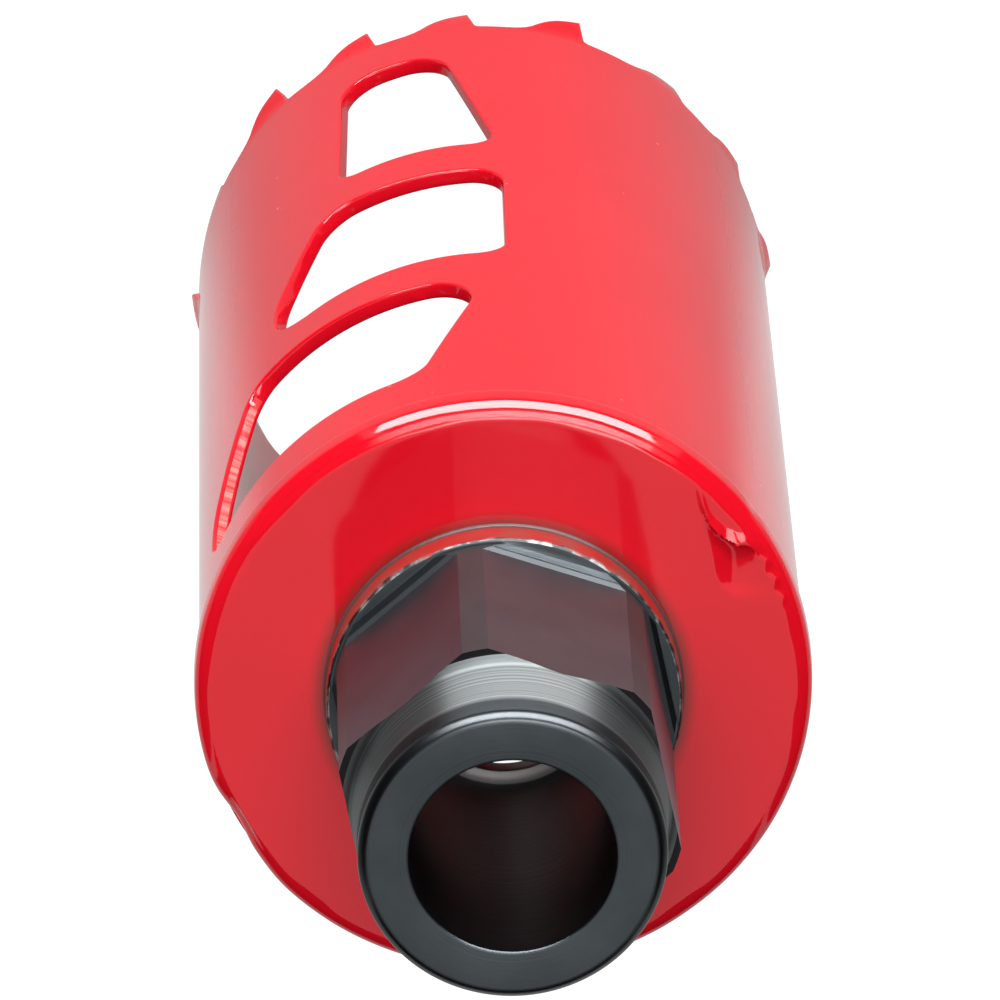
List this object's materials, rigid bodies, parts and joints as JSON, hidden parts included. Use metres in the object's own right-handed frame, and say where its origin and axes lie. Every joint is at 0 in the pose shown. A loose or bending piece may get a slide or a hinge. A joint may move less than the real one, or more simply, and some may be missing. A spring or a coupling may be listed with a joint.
{
  "type": "hole saw",
  "caption": "Deep-cut hole saw: a toothed steel tube with chip windows, closed by a welded disc that carries a bored drive hub with milled flats.",
  "frame": {"origin": "centre of the circle of tooth tips, on the axis of rotation; z = 0 is the plane of the tips, on which the saw stands", "axes": "+Z along the axis of rotation, from the teeth to the hub; the two columns of chip windows face -Y and +Y"},
  "size_m": [0.0344, 0.0346, 0.0878],
  "materials": {
    "red_paint": "gloss paint over steel",
    "dark_steel": "turned and milled, dark oxide"
  },
  "bodies": {
    "root": {"toothed_tube": "red_paint", "base_disc": "red_paint", "drive_hub": "dark_steel"}
  },
  "joints": []
}
